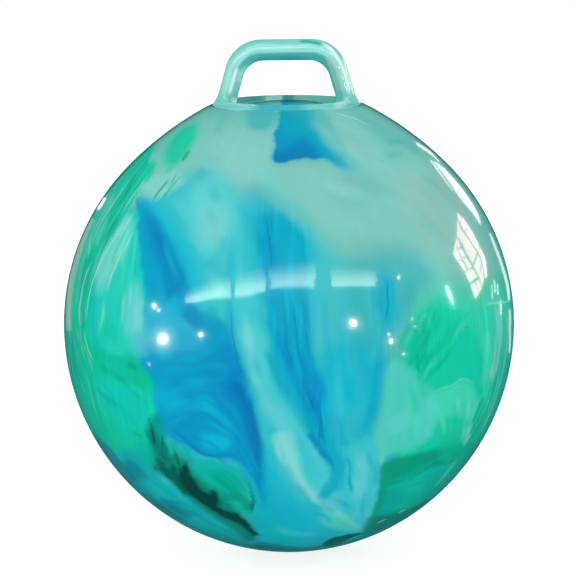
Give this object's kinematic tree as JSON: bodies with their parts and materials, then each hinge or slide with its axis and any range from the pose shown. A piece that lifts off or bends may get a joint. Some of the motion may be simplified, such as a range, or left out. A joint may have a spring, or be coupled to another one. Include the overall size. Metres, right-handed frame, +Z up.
{
  "type": "hopper ball",
  "caption": "Inflated bouncing ball for a child to sit on, with a loop handle on a raised ring on top and an air valve with a stopper at the back.",
  "frame": {"origin": "centre of the contact patch on the floor, under the middle of the ball", "axes": "+Z up along the ball's axis to the handle, X along the handle's grip, front of the ball towards -Y, valve on the +Y side"},
  "size_m": [0.45, 0.45, 0.5107],
  "materials": {
    "ball_vinyl": "glossy soft vinyl, marbled blue, aqua, mint and green",
    "ring_vinyl": "glossy soft vinyl, marbled like the ball",
    "handle_vinyl": "glossy soft vinyl, pale mint with aqua streaks",
    "valve_vinyl": "satin soft vinyl",
    "stopper_plastic": "satin white plastic"
  },
  "bodies": {
    "ball": {"ball_skin": "ball_vinyl", "handle_base_ring": "ring_vinyl", "handle_loop": "handle_vinyl", "valve_seat": "valve_vinyl"},
    "stopper": {"valve_stopper": "stopper_plastic"}
  },
  "joints": [
    {"name": "stopper_pull", "type": "slide", "parent": "ball", "child": "stopper", "axis": [0, 0.866, 0.5], "range_m": [0, 0.03]}
  ]
}
